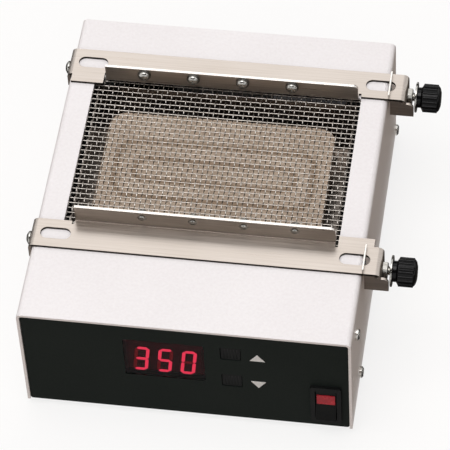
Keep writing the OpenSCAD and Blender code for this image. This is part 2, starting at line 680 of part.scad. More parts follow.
// Heat sink behind the control board
sink_y = front_y + 43;
sink_plate = 3;
fins = 9;
module heat_sink() color([0.7, 0.7, 0.72]) placed() {
  block(-sink_w / 2, sink_w / 2, sink_y - sink_plate, sink_y, pan_top, pan_top + sink_h);
  for (i = [0:fins - 1]) {
    x = -sink_w / 2 + i * (sink_w - fin_t) / (fins - 1);
    block(x, x + fin_t, sink_y - sink_plate - fin_len, sink_y - sink_plate + e, pan_top, pan_top + sink_h);
  }
}

// Earth stud with its nut and washer
stud_x = -10;
stud_y = back_y - 18;
stud_r = 2;
earth_nut = 3.2;
module earth_stud() color([0.8, 0.65, 0.3]) placed() {
  rod_z(stud_x, stud_y, pan_top, pan_top + 12, stud_r);
  translate([stud_x, stud_y, pan_top]) cylinder(h = earth_nut, r = 2 * stud_r, $fn = 6);
  rod_z(stud_x, stud_y, pan_top + earth_nut - 0.1, pan_top + earth_nut + 0.8, 2.2 * stud_r);
}

// Box on a rail: v runs inwards from the rail's outer edge, z up from the case top
module rail_block(edge, dir, x0, x1, v0, v1, z0, z1) {
  block(x0, x1, edge + dir * v0, edge + dir * v1, top_z + z0, top_z + z1);
}

// Bent board rail; cheek is the near face of the bracket
module rail(edge, dir, left_v, right_v, right_x, cheek, supports) {
  x_hook = hook_x - rail_t + rail_bend;
  x_wall = wall_x - rail_bend;
  v_flat = rail_d - flange_bend;
  y0 = edge;
  y1 = edge + dir * tab_narrow;
  difference() {
    union() {
      rail_block(edge, dir, x_hook, x_wall, 0, 15.8, 0, rail_t);
      rail_block(edge, dir, x_hook, flange_x0 - 1.4, 15.7, left_v, 0, rail_t);
      rail_block(edge, dir, flange_x0, flange_x1, 15.7, v_flat, 0, rail_t);
      rail_block(edge, dir, flange_x1 + 1.4, x_wall, 15.7, tab_narrow, 0, rail_t);
      if (right_v > tab_narrow) rail_block(edge, dir, flange_x1 + 1.4, right_x, 15.7, right_v, 0, rail_t);
      bend_x(edge + dir * v_flat, top_z + flange_bend, flange_x0, flange_x1, flange_bend, rail_t, dir, -1);
      rail_block(edge, dir, flange_x0, flange_x1 - flange_r, rail_d - rail_t, rail_d, flange_bend, flange_h);
      rail_block(edge, dir, flange_x1 - flange_r - 1, flange_x1, rail_d - rail_t, rail_d,
        flange_bend, flange_h - flange_r);
      rod_y(flange_x1 - flange_r, edge + dir * (rail_d - rail_t), edge + dir * rail_d,
        top_z + flange_h - flange_r, flange_r);
      bend_y(x_hook, top_z + rail_t - rail_bend, y0, y1, rail_bend, rail_t, -1, 1);
      rail_block(edge, dir, hook_x - rail_t, hook_x, 0, tab_narrow, -hook_drop, rail_t - rail_bend);
      bend_y(x_wall, top_z + rail_t - rail_bend, y0, y1, rail_bend, rail_t, 1, 1);
      rail_block(edge, dir, wall_x - rail_t, wall_x, 0, tab_narrow, -bracket_drop, rail_t - rail_bend);
      rail_block(edge, dir, side_x + 1.3, wall_x - 0.5, cheek, cheek + rail_t,
        -bracket_drop, -rail_bend + rail_t);
      rail_block(edge, dir, side_x + 1.3, x_wall, cheek, cheek + rail_t, -2, rail_t / 2);
      rail_block(edge, dir, wall_x - 0.5, wall_x + 4, cheek, cheek + rail_t, -bracket_drop, -5);
      rail_block(edge, dir, wall_x - 0.5, wall_x + 1, cheek, cheek + rail_t, -5.5, -2);
      rod_y(wall_x + 1, edge + dir * cheek, edge + dir * (cheek + rail_t), top_z - 5, 3);
    }
    for (x = [slot_left, slot_right]) {
      rail_block(edge, dir, x - slot_len / 2 + slot_w / 2, x + slot_len / 2 - slot_w / 2,
        screw_v - slot_w / 2, screw_v + slot_w / 2, -1, rail_t + 1);
      for (s = [-1, 1])
        rod_z(x + s * (slot_len - slot_w) / 2, edge + dir * screw_v,
          top_z - 1, top_z + rail_t + 1, slot_w / 2);
    }
    for (x = supports)
      rod_y(x, edge + dir * (rail_d - rail_t - 1), edge + dir * (rail_d + 1), support_z, support_r + tap_gap);
    rod_x(wall_x - rail_t - 1, wall_x + 1, edge + dir * screw_v, screw_z, screw_r + 0.4);
    rod_x(hook_x - rail_t - 1, hook_x + 1, edge + dir * screw_v, top_z - 4.4, rivet_r + tap_gap);
  }
}

module support_screws(edge, dir, supports) for (x = supports)
  translate([x, edge + dir * (rail_d + support_washer_t), support_z]) rotate([-90 * dir, 0, 0]) {
    dome_head(support_head_r, 2.3);
    translate([0, 0, -support_washer_t - support_seat])
      cylinder(h = support_washer_t + support_seat + e, r = support_r);
    translate([0, 0, -support_washer_t - rail_t]) cylinder(h = rail_t, r = support_tip_r);
    translate([0, 0, -support_washer_t - rail_t - 0.5])
      cylinder(h = 0.5 + e, r1 = support_tip_r - 0.5, r2 = support_tip_r);
  }

module support_washers(edge, dir, supports) for (x = supports) difference() {
  rod_y(x, edge + dir * rail_d, edge + dir * (rail_d + support_washer_t), support_z, support_head_r + 0.55);
  rod_y(x, edge + dir * (rail_d - 1), edge + dir * (rail_d + 2), support_z, support_r + hole_gap);
}

module hook_rivet(edge, dir)
  translate([hook_x - rail_t, edge + dir * screw_v, top_z - 4.4]) rotate([0, -90, 0]) {
    cylinder(h = 1.2, r = 3.6);
    translate([0, 0, 1.2]) cylinder(h = 1.2, r1 = 3.6, r2 = 1.8);
    translate([0, 0, -rail_t]) cylinder(h = rail_t + e, r = rivet_r);
  }

module clamp_nut(edge, dir) translate([wall_x, edge + dir * screw_v, screw_z]) rotate([0, 90, 0])
  rotate([0, 0, 90]) hex_nut(8.2, 2.7, bore_r);

module pressure_plate(edge, dir) {
  rail_block(edge, dir, plate_x, plate_x + plate_t, 0.5, tab_narrow - 0.5, rail_t, rail_t + 3);
  rail_block(edge, dir, plate_x, plate_x + plate_t, screw_v - slot_w / 2 + 1.1, screw_v + slot_w / 2 - 1.1,
    -screw_drop - 4, rail_t + 1);
}

module clamp_washer(edge, dir) difference() {
  rod_x(washer_x, washer_x + 1, edge + dir * screw_v, screw_z, washer_r);
  rod_x(washer_x - 1, washer_x + 2, edge + dir * screw_v, screw_z, bore_r);
}

module clamp_screw(edge, dir)
  rod_x(plate_x + plate_t, washer_x + 9, edge + dir * screw_v, screw_z, screw_r);

// Ribbed knob with a neck, a blind bore and a stepped dome
module clamp_knob(edge, dir)
  translate([washer_x + 1, edge + dir * screw_v, screw_z]) rotate([0, 90, 0]) difference() {
  union() {
    cylinder(h = 3, r = knob_r * 0.71);
    translate([0, 0, 2]) cylinder(h = 1, r1 = knob_r * 0.71, r2 = knob_r - 0.6);
    translate([0, 0, 3]) cylinder(h = knob_len, r = knob_r - 0.6);
    for (i = [0:knob_ribs - 1]) rotate([0, 0, i * 360 / knob_ribs])
      translate([knob_r - 0.65, 0, 3.2]) cylinder(h = knob_len - 0.4, r = 0.65);
    translate([0, 0, knob_len + 3]) cylinder(h = 1, r1 = knob_r - 0.6, r2 = knob_r - 1.8);
    translate([0, 0, knob_len + 4]) cylinder(h = 0.6, r1 = knob_r - 1.8, r2 = knob_r * 0.5);
  }
  translate([0, 0, -1]) cylinder(h = 9, r = screw_r + 0.06);
}

module rear_rail() color([0.84, 0.8, 0.77]) placed()
  rail(rear_edge, -1, tab_wide, tab_narrow, wall_x - rail_bend, tab_narrow - rail_t, rear_supports);
module front_rail() color([0.8, 0.76, 0.73]) placed()
  rail(front_edge, 1, tab_narrow, tab_wide, side_x + 4.5, 0, front_supports);
module rear_support_screws() color([0.8, 0.8, 0.8]) placed() support_screws(rear_edge, -1, rear_supports);
module front_support_screws() color([0.8, 0.8, 0.8]) placed() support_screws(front_edge, 1, front_supports);
module rear_support_washers() color([0.75, 0.75, 0.75]) placed()
  support_washers(rear_edge, -1, rear_supports);
module front_support_washers() color([0.75, 0.75, 0.75]) placed()
  support_washers(front_edge, 1, front_supports);
module rear_hook_rivet() color([0.75, 0.75, 0.75]) placed() hook_rivet(rear_edge, -1);
module front_hook_rivet() color([0.75, 0.75, 0.75]) placed() hook_rivet(front_edge, 1);
module rear_nut() color([0.8, 0.8, 0.8]) placed() clamp_nut(rear_edge, -1);
module front_nut() color([0.8, 0.8, 0.8]) placed() clamp_nut(front_edge, 1);
module rear_pressure_plate() color([0.85, 0.84, 0.82]) placed() pressure_plate(rear_edge, -1);
module front_pressure_plate() color([0.85, 0.84, 0.82]) placed() pressure_plate(front_edge, 1);
module rear_clamp_washer() color([0.85, 0.85, 0.85]) placed() clamp_washer(rear_edge, -1);
module front_clamp_washer() color([0.85, 0.85, 0.85]) placed() clamp_washer(front_edge, 1);
module rear_clamp_screw() color([0.7, 0.7, 0.7]) placed() clamp_screw(rear_edge, -1);
module front_clamp_screw() color([0.7, 0.7, 0.7]) placed() clamp_screw(front_edge, 1);
module rear_knob() color([0.08, 0.08, 0.08]) placed() clamp_knob(rear_edge, -1);
module front_knob() color([0.08, 0.08, 0.08]) placed() clamp_knob(front_edge, 1);

case_cover();
base_pan();
front_panel();
panel_nuts();
feet();
foot_screws();
cover_screws();
guard_mesh();
mesh_frame();
reflector_tray();
tray_posts();
tray_screws();
ceramic_heater();
heater_clip();
heater_leads();
terminal_block();
terminal_screws();
control_board();
board_posts();
board_screws();
display_module();
display_window();
display_segments();
up_button();
down_button();
tact_switches();
arrow_marks();
switch_frame();
rocker();
rocker_lens();
switch_tabs();
power_inlet();
inlet_pins();
inlet_screws();
transformer_core();
transformer_coil();
heat_sink();
earth_stud();
rear_rail();
rear_support_screws();
rear_support_washers();
rear_hook_rivet();
rear_nut();
rear_pressure_plate();
rear_clamp_washer();
rear_clamp_screw();
rear_knob();
front_rail();
front_support_screws();
front_support_washers();
front_hook_rivet();
front_nut();
front_pressure_plate();
front_clamp_washer();
front_clamp_screw();
front_knob();
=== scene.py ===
# Bench preheater for circuit boards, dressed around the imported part
import json
import math

import bmesh
import bpy
from mathutils import Matrix, Vector

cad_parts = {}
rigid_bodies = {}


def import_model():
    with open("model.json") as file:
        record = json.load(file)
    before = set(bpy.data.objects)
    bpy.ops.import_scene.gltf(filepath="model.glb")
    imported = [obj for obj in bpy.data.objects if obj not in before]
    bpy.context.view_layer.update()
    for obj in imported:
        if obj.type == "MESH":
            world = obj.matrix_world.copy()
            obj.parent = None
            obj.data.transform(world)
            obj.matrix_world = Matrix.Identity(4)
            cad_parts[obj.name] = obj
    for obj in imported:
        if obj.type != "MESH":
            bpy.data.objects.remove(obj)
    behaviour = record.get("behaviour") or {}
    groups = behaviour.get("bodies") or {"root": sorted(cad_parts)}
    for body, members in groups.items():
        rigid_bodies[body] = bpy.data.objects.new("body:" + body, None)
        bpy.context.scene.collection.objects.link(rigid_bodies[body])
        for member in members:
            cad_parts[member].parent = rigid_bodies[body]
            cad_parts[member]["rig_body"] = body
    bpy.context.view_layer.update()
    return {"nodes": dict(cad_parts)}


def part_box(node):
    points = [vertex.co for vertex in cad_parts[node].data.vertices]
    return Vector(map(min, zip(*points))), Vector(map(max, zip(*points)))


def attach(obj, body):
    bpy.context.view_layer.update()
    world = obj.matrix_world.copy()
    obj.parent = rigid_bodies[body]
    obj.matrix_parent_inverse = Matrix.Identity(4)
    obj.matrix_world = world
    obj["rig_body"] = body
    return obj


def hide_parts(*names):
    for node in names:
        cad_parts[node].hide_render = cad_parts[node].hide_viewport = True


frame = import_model()
cad = frame["nodes"]
mm = 0.001
print("frame loaded,", len(cad), "nodes")

# Camera at the photograph's angle
shot = {"place": (0.206, -1.07304, 1.40479), "turn": (38.5386, 2.3791, 8.2196), "lens": 262.16, "sensor": 36}
shotCamera = bpy.data.cameras.new("shotCamera")
shotCamera.lens = shot["lens"]
shotCamera.sensor_width = shot["sensor"]
shotStand = bpy.data.objects.new("shotCamera", shotCamera)
shotStand.location = shot["place"]
shotStand.rotation_euler = [math.radians(a) for a in shot["turn"]]
bpy.context.scene.collection.objects.link(shotStand)
bpy.context.scene.camera = shotStand
bpy.context.scene.view_settings.view_transform = "Standard"


def linear(hexText):
    shades = []
    for i in (0, 2, 4):
        shade = int(hexText[i:i + 2], 16) / 255
        shades.append(shade / 12.92 if shade <= 0.04045 else ((shade + 0.055) / 1.055) ** 2.4)
    return (*shades, 1.0)


def addNode(tree, kind, settings=None, inputs=None):
    node = tree.nodes.new(kind)
    for name, value in (settings or {}).items():
        setattr(node, name, value)
    for name, value in (inputs or {}).items():
        if isinstance(value, bpy.types.NodeSocket):
            tree.links.new(value, node.inputs[name])
        else:
            node.inputs[name].default_value = value
    return node


# How the fine grain and the broad clouds of a finish mix, and where they turn from dark to light
grainMix = {"detail": 3.0, "broken": 0.6, "cloudDetail": 2.0, "cloudShare": 0.6, "tone": (0.55, 1.05),
            "gloss": (0.3, 0.7)}


def grainFinish(name, look):
    material = bpy.data.materials.new(name)
    material.use_nodes = True
    tree = material.node_tree
    shader = tree.nodes["Principled BSDF"]
    shader.inputs["Metallic"].default_value = look.get("metallic", 0.0)
    shader.inputs["IOR"].default_value = look.get("ior", 1.5)
    shader.inputs["Specular IOR Level"].default_value = look.get("specular", 0.5)
    place = addNode(tree, "ShaderNodeTexCoord")
    perMetre = [1 / (size * mm) for size in look["grainMm"]]
    stretch = addNode(tree, "ShaderNodeMapping", None, {"Vector": place.outputs["Object"], "Scale": perMetre})
    grain = addNode(tree, "ShaderNodeTexNoise", None,
                    {"Vector": stretch.outputs["Vector"], "Scale": 1.0, "Detail": grainMix["detail"],
                     "Roughness": grainMix["broken"]})
    cloud = addNode(tree, "ShaderNodeTexNoise", None,
                    {"Vector": place.outputs["Object"], "Scale": 1 / (look["cloudMm"] * mm),
                     "Detail": grainMix["cloudDetail"]})
    both = addNode(tree, "ShaderNodeMath", {"operation": "MULTIPLY_ADD"},
                   {0: cloud.outputs["Fac"], 1: grainMix["cloudShare"], 2: grain.outputs["Fac"]})
    share = addNode(tree, "ShaderNodeMapRange", None,
                    {"Value": both.outputs["Value"], "From Min": grainMix["tone"][0],
                     "From Max": grainMix["tone"][1]})
    tone = addNode(tree, "ShaderNodeMix", {"data_type": "RGBA"},
                   {0: share.outputs["Result"], 6: linear(look["dark"]), 7: linear(look["light"])})
    gloss = addNode(tree, "ShaderNodeMapRange", None,
                    {"Value": grain.outputs["Fac"], "From Min": grainMix["gloss"][0],
                     "From Max": grainMix["gloss"][1], "To Min": look["rough"][0],
                     "To Max": look["rough"][1]})
    relief = addNode(tree, "ShaderNodeBump", None,
                     {"Height": grain.outputs["Fac"], "Distance": look["reliefMm"] * mm,
                      "Strength": look.get("strength", 0.5)})
    tree.links.new(tone.outputs[2], shader.inputs["Base Color"])
    tree.links.new(gloss.outputs["Result"], shader.inputs["Roughness"])
    tree.links.new(relief.outputs["Normal"], shader.inputs["Normal"])
    return material


# Sprayed and baked polyester powder: a nearly white skin with a faint orange peel
powderWhite = grainFinish("whitePowderCoat", {
    "light": "EFECED", "dark": "E7E3E4", "grainMm": (1.6, 1.6, 1.6), "cloudMm": 60, "rough": (0.36, 0.46),
    "reliefMm": 0.03, "strength": 0.25, "specular": 0.4})
# The same coat in grey on the base sheet and its rear wall
powderGrey = grainFinish("greyPowderCoat", {
    "light": "C9C7C6", "dark": "BDBBBA", "grainMm": (1.6, 1.6, 1.6), "cloudMm": 60, "rough": (0.4, 0.5),
    "reliefMm": 0.03, "strength": 0.25, "specular": 0.4})
# Matt black lacquer on the control panel, drawn with a coarser speckle than real so that it shows
panelLacquer = grainFinish("blackPanelLacquer", {
    "light": "222725", "dark": "1B201E", "grainMm": (1.2, 1.2, 1.2), "cloudMm": 45, "rough": (0.5, 0.62),
    "reliefMm": 0.02, "strength": 0.2, "specular": 0.03})
# Stainless sheet brushed along the rails: warm grey with long fine streaks
brushedStainless = grainFinish("brushedStainless", {
    "light": "D3CAC2", "dark": "BBB1A8", "metallic": 1.0, "grainMm": (45, 0.9, 0.9), "cloudMm": 70,
    "rough": (0.27, 0.38), "reliefMm": 0.012, "strength": 0.3})
# Sheared edges of that sheet: torn by the tool and dull, and drawn darker still as painted shade of the slot
# and plate edges
shadedShearedSteel = grainFinish("shadedShearedStainlessEdge", {
    "light": "38332F", "dark": "211D1A", "metallic": 1.0, "grainMm": (0.6, 0.6, 3), "cloudMm": 9,
    "rough": (0.42, 0.58), "reliefMm": 0.02, "strength": 0.4})
# Inside of the flange bends and the brackets below: a darker, duller steel that is painted shade and painted
# dark reflection
bendShadeSteel = grainFinish("paintedShadeStainlessBend", {
    "light": "93887F", "dark": "7A7068", "metallic": 1.0, "grainMm": (30, 0.9, 0.9), "cloudMm": 40,
    "rough": (0.46, 0.6), "reliefMm": 0.012, "strength": 0.3})
# Upright faces of the flanges: painted shade, the same steel toned darker where the flanges face forward
shadedFlange = grainFinish("paintedShadeFlangeStainless", {
    "light": "BDB3AA", "dark": "A59B92", "metallic": 1.0, "grainMm": (45, 0.9, 0.9), "cloudMm": 70,
    "rough": (0.27, 0.38), "reliefMm": 0.012, "strength": 0.3})
# The pressing plates of the clamps, ground bright; on the upward tops of the flanges the same bright steel is
# a painted highlight
groundAndHighlitSteel = grainFinish("groundAndHighlitStainless", {
    "light": "F0ECE7", "dark": "DDD8D2", "metallic": 1.0, "grainMm": (18, 0.7, 0.7), "cloudMm": 30,
    "rough": (0.16, 0.26), "reliefMm": 0.01, "strength": 0.2})
# Bright zinc plate on screws, nuts and washers: cool, with small cloudy patches
zincPlate = grainFinish("zincPlatedSteel", {
    "light": "C9C7C2", "dark": "96948F", "metallic": 1.0, "grainMm": (1.5, 1.5, 1.5), "cloudMm": 6,
    "rough": (0.15, 0.27), "reliefMm": 0.01, "strength": 0.25})
# The same plate made brighter on the heads of the side screws: a painted sheen
sheenZinc = grainFinish("paintedSheenZincPlate", {
    "light": "F0EEEA", "dark": "CFCDC8", "metallic": 1.0, "grainMm": (1.5, 1.5, 1.5), "cloudMm": 6,
    "rough": (0.15, 0.27), "reliefMm": 0.01, "strength": 0.25})
# The same plate darkened on the plain washers: painted shade
shadedZinc = grainFinish("paintedShadeZincPlate", {
    "light": "7C7A76", "dark": "4E4C49", "metallic": 1.0, "grainMm": (1.5, 1.5, 1.5), "cloudMm": 6,
    "rough": (0.25, 0.4), "reliefMm": 0.01, "strength": 0.25})
# Drawn stainless wire, dulled by heat; the crimped wires are given painted shade low in their dips
wireLook = {"light": "C9C3BC", "dark": "9A948D", "metallic": 1.0, "grainMm": (2.4, 2.4, 2.4), "cloudMm": 25,
            "rough": (0.12, 0.2), "reliefMm": 0.01, "strength": 0.2}
guardWire = grainFinish("drawnWire", wireLook)
crimpedWire = grainFinish("crimpedWire", wireLook)
# Rolled aluminium sheet of the reflector, heat stained, and darkened further as painted shade of the deep
# trench round the heater
rolledAluminium = grainFinish("rolledAluminium", {
    "light": "9A9189", "dark": "5E5751", "metallic": 1.0, "grainMm": (30, 1.2, 1.2), "cloudMm": 22,
    "rough": (0.22, 0.36), "reliefMm": 0.015, "strength": 0.3})
# Plain spring steel of the clip, and nickel wire
springSteel = grainFinish("springSteel", {
    "light": "B7B5B0", "dark": "85827D", "metallic": 1.0, "grainMm": (8, 0.8, 0.8), "cloudMm": 10,
    "rough": (0.3, 0.45), "reliefMm": 0.01, "strength": 0.25})
nickelWire = grainFinish("nickelPlatedBrass", {
    "light": "D2CABC", "dark": "A79F92", "metallic": 1.0, "grainMm": (1.5, 1.5, 6), "cloudMm": 8,
    "rough": (0.22, 0.36), "reliefMm": 0.01, "strength": 0.2})
# Turned brass: yellow with fine rings of tarnish
turnedBrass = grainFinish("turnedBrass", {
    "light": "D9B66A", "dark": "A4803E", "metallic": 1.0, "grainMm": (3, 3, 0.7), "cloudMm": 7,
    "rough": (0.24, 0.4), "reliefMm": 0.01, "strength": 0.2})
# Moulded rubber feet: matt, with a dusty bloom
mouldedRubber = grainFinish("mouldedRubber", {
    "light": "2A2A2A", "dark": "161616", "grainMm": (1.2, 1.2, 1.2), "cloudMm": 12, "rough": (0.7, 0.85),
    "reliefMm": 0.04, "strength": 0.3, "specular": 0.3})
# Black ABS with a spark-eroded grain, for the switch, the buttons and the inlet
mouldedAbs = grainFinish("mouldedBlackAbs", {
    "light": "1C1D1D", "dark": "111212", "grainMm": (0.9, 0.9, 0.9), "cloudMm": 14, "rough": (0.4, 0.54),
    "reliefMm": 0.02, "strength": 0.25, "specular": 0.05})
# Filled nylon of the knobs: satin black with a slight flow mottle
mouldedNylon = grainFinish("mouldedBlackNylon", {
    "light": "0B0B0C", "dark": "050506", "grainMm": (1.4, 0.8, 0.8), "cloudMm": 7, "rough": (0.12, 0.22),
    "reliefMm": 0.02, "strength": 0.25, "specular": 0.2})
# Clear red polycarbonate of the rocker's lens, glossy
redPolycarbonate = grainFinish("redPolycarbonate", {
    "light": "BA2734", "dark": "A01D2A", "grainMm": (3, 3, 3), "cloudMm": 6, "rough": (0.2, 0.3),
    "reliefMm": 0.01, "strength": 0.15, "specular": 0.12, "ior": 1.58})
# Grey screen-printed ink of the arrows, slightly uneven
printedInk = grainFinish("greyPrintedInk", {
    "light": "EBEDEE", "dark": "DEE0E2", "grainMm": (0.8, 0.8, 0.8), "cloudMm": 5, "rough": (0.5, 0.62),
    "reliefMm": 0.01, "strength": 0.2, "specular": 0.3})
# Unglazed cordierite of the heater: warm beige, sandy, browned in patches
firedCeramic = grainFinish("firedCordierite", {
    "light": "CDBAA7", "dark": "B8A38F", "grainMm": (1.8, 1.8, 1.8), "cloudMm": 26, "rough": (0.62, 0.8),
    "reliefMm": 0.05, "strength": 0.4, "specular": 0.3})
# White steatite of the terminal block
firedSteatite = grainFinish("firedSteatite", {
    "light": "E8E2D6", "dark": "D6CFC1", "grainMm": (1.5, 1.5, 1.5), "cloudMm": 14, "rough": (0.5, 0.66),
    "reliefMm": 0.03, "strength": 0.3, "specular": 0.4})
# Green solder mask over copper, with cloudy tone
solderMask = grainFinish("greenSolderMask", {
    "light": "1F6B3A", "dark": "134A27", "grainMm": (6, 6, 1.4), "cloudMm": 16, "rough": (0.28, 0.42),
    "reliefMm": 0.03, "strength": 0.4, "specular": 0.5})
# Varnished core sheets, seen as fine stacked lines
stackedSheets = grainFinish("stackedCoreSheets", {
    "light": "7C7B7D", "dark": "4A494B", "metallic": 0.8, "grainMm": (30, 0.7, 30), "cloudMm": 20,
    "rough": (0.4, 0.6), "reliefMm": 0.05, "strength": 0.6})
# Amber tape round the coil, with the turns showing
woundTape = grainFinish("amberCoilTape", {
    "light": "B57A32", "dark": "7C4A17", "grainMm": (20, 20, 0.9), "cloudMm": 12, "rough": (0.3, 0.45),
    "reliefMm": 0.06, "strength": 0.6, "specular": 0.5})
# Tones that change with height, both painted shade: the ceramic darker down in its grooves, the crimped wires
# darker low in the weave
grooveShade = {"fromMm": -0.03, "toMm": -0.8, "tone": "A08A75"}
weaveDipShade = {"fromMm": 0.42, "toMm": -0.12, "tone": "3A3632"}
print("grained finishes made")

# Red light behind each lit bar of the display
litBar = {"colour": "FF86AE", "cooler": "F2709C", "strength": 1.4, "body": "2A0608", "rough": 0.4,
          "cloudMm": 3}
litRed = bpy.data.materials.new("litRedBars")
litRed.use_nodes = True
litTree = litRed.node_tree
litShader = litTree.nodes["Principled BSDF"]
litPlace = addNode(litTree, "ShaderNodeTexCoord")
litCloud = addNode(litTree, "ShaderNodeTexNoise", None,
                   {"Vector": litPlace.outputs["Object"], "Scale": 1 / (litBar["cloudMm"] * mm),
                    "Detail": 1.0})
litTone = addNode(litTree, "ShaderNodeMix", {"data_type": "RGBA"},
                  {0: litCloud.outputs["Fac"], 6: linear(litBar["cooler"]), 7: linear(litBar["colour"])})
litTree.links.new(litTone.outputs[2], litShader.inputs["Emission Color"])
litShader.inputs["Emission Strength"].default_value = litBar["strength"]
litShader.inputs["Base Color"].default_value = linear(litBar["body"])
litShader.inputs["Roughness"].default_value = litBar["rough"]

# Smoked red acrylic over the display: dark, glossy, and clear enough for the lit bars
windowLook = {"colour": "C4606A", "rough": (0.02, 0.06), "ior": 1.12, "specular": 0.2, "cloudMm": 9}
smokedAcrylic = bpy.data.materials.new("smokedRedAcrylic")
smokedAcrylic.use_nodes = True
windowTree = smokedAcrylic.node_tree
windowShader = windowTree.nodes["Principled BSDF"]
windowPlace = addNode(windowTree, "ShaderNodeTexCoord")
windowCloud = addNode(windowTree, "ShaderNodeTexNoise", None,
                      {"Vector": windowPlace.outputs["Object"], "Scale": 1 / (windowLook["cloudMm"] * mm),
                       "Detail": 1.0})
windowGloss = addNode(windowTree, "ShaderNodeMapRange", None,
                      {"Value": windowCloud.outputs["Fac"], "To Min": windowLook["rough"][0],
                       "To Max": windowLook["rough"][1]})
windowTree.links.new(windowGloss.outputs["Result"], windowShader.inputs["Roughness"])
windowShader.inputs["Base Color"].default_value = linear(windowLook["colour"])
windowShader.inputs["Transmission Weight"].default_value = 1.0
windowShader.inputs["IOR"].default_value = windowLook["ior"]
windowShader.inputs["Specular IOR Level"].default_value = windowLook["specular"]

# The display's black face, and its unlit bars that show as a dull wine tint with a faint painted glow, though
# no light is behind them
displayFace = grainFinish("displayFaceBlack", {
    "light": "1C0D0F", "dark": "120809", "grainMm": (2, 2, 2), "cloudMm": 10, "rough": (0.5, 0.6),
    "reliefMm": 0.01, "strength": 0.2, "specular": 0.2})
unlitRed = grainFinish("unlitRedBars", {
    "light": "7A3440", "dark": "642A34", "grainMm": (2, 2, 2), "cloudMm": 8, "rough": (0.4, 0.5),
    "reliefMm": 0.01, "strength": 0.2, "specular": 0.3})
# Painted glow: a weak emission on the unlit bars
paintedUnlitGlow = {"colour": "8C2A38", "strength": 0.3}
unlitShader = unlitRed.node_tree.nodes["Principled BSDF"]
unlitShader.inputs["Emission Color"].default_value = linear(paintedUnlitGlow["colour"])
unlitShader.inputs["Emission Strength"].default_value = paintedUnlitGlow["strength"]
print("display finishes made")

# Which node wears which finish
wear = [
    (powderWhite, "white_paint", ["case_cover"]),
    (powderGrey, "grey_paint", ["base_pan"]),
    (panelLacquer, "black_paint", ["front_panel"]),
    (zincPlate, "zinc_steel", ["panel_nuts", "foot_screws", "mesh_frame", "tray_posts", "tray_screws",
                               "board_screws", "inlet_screws"]),
    (mouldedRubber, "black_rubber", ["feet"]),
    (guardWire, "wire_steel", ["guard_mesh"]),
    (sheenZinc, "zinc_steel", ["cover_screws"]),
    (rolledAluminium, "bright_aluminium", ["reflector_tray", "heat_sink"]),
    (firedCeramic, "beige_ceramic", ["ceramic_heater"]),
    (springSteel, "spring_steel", ["heater_clip"]),
    (nickelWire, "nickel_wire", ["heater_leads", "inlet_pins"]),
    (firedSteatite, "white_ceramic", ["terminal_block"]),
    (turnedBrass, "brass", ["terminal_screws", "board_posts", "switch_tabs", "earth_stud"]),
    (solderMask, "board_green", ["control_board"]),
    (displayFace, "black_plastic", ["display_module"]),
    (smokedAcrylic, "red_lens", ["display_window"]),
    (litRed, "lit_red", ["display_segments"]),
    (mouldedAbs, "black_plastic", ["up_button", "down_button", "tact_switches", "switch_frame", "rocker",
                                   "power_inlet"]),
    (printedInk, "grey_print", ["arrow_marks"]),
    (redPolycarbonate, "red_plastic", ["rocker_lens"]),
    (stackedSheets, "core_steel", ["transformer_core"]),
    (woundTape, "coil_tape", ["transformer_coil"]),
]
railWear = [
    (brushedStainless, "stainless_sheet", ["rail"]),
    (groundAndHighlitSteel, "stainless_sheet", ["pressure_plate"]),
    (zincPlate, "zinc_steel", ["support_screws", "hook_rivet", "nut", "clamp_washer", "clamp_screw"]),
    (shadedZinc, "zinc_steel", ["support_washers"]),
    (mouldedNylon, "knob_plastic", ["knob"]),
]
for finish, slotName, names in railWear:
    wear.append((finish, slotName, [end + "_" + name for end in ("rear", "front") for name in names]))
finishOf = {}
for finish, slotName, names in wear:
    for name in names:
        cad[name].data.materials.clear()
        cad[name].data.materials.append(finish)
        finishOf[name] = finish
assert set(finishOf) == set(cad), set(cad) ^ set(finishOf)
print("finishes put on", len(finishOf), "nodes")


def makePiece(shape, name, likeNode, smoothDegrees=32):
    mesh = bpy.data.meshes.new(name)
    for face in shape.faces:
        face.smooth = True
    shape.to_mesh(mesh)
    shape.free()
    mesh.set_sharp_from_angle(angle=math.radians(smoothDegrees))
    mesh.materials.append(finishOf[likeNode])
    piece = bpy.data.objects.new(name, mesh)
    bpy.context.scene.collection.objects.link(piece)
    even = piece.modifiers.new("evenShading", "WEIGHTED_NORMAL")
    even.keep_sharp = True
    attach(piece, cad[likeNode]["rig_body"])
    return piece


# Pieces whose edges are broken: sheet edges are deburred and moulded edges are rounded, in millimetres
brokenEdges = {
    "case_cover": 0.3, "front_panel": 0.25, "base_pan": 0.25, "rear_rail": 0.14, "front_rail": 0.14,
    "rear_pressure_plate": 0.2, "front_pressure_plate": 0.2, "switch_frame": 0.35, "rocker": 0.3,
    "up_button": 0.2, "down_button": 0.2, "power_inlet": 0.4, "rear_knob": 0.18, "front_knob": 0.18,
    "feet": 0.4, "rear_clamp_washer": 0.2, "front_clamp_washer": 0.2, "rear_nut": 0.25, "front_nut": 0.25,
    "rear_hook_rivet": 0.35, "front_hook_rivet": 0.35, "cover_screws": 0.25, "rear_support_screws": 0.25,
    "front_support_screws": 0.25, "rear_support_washers": 0.15, "front_support_washers": 0.15,
    "inlet_screws": 0.2, "rocker_lens": 0.15,
}


# Heights on the rails: just under the plate, the plate's top, the end of the bend, the flange's lip;
# and how far a face leans to count as an upright edge, a bend, a level lip or an upright flange
railFaces = {"cutMm": 76.9, "plateMm": 78.5, "bendMm": 79.4, "lipMm": 88.5, "edge": 0.3, "bend": 0.12,
             "level": 0.5, "flange": 0.8}
# Loose triangles of the solids are merged, and flat ones joined, before their edges are broken
weld = {"mergeMm": 0.002, "flatDegrees": 0.6}


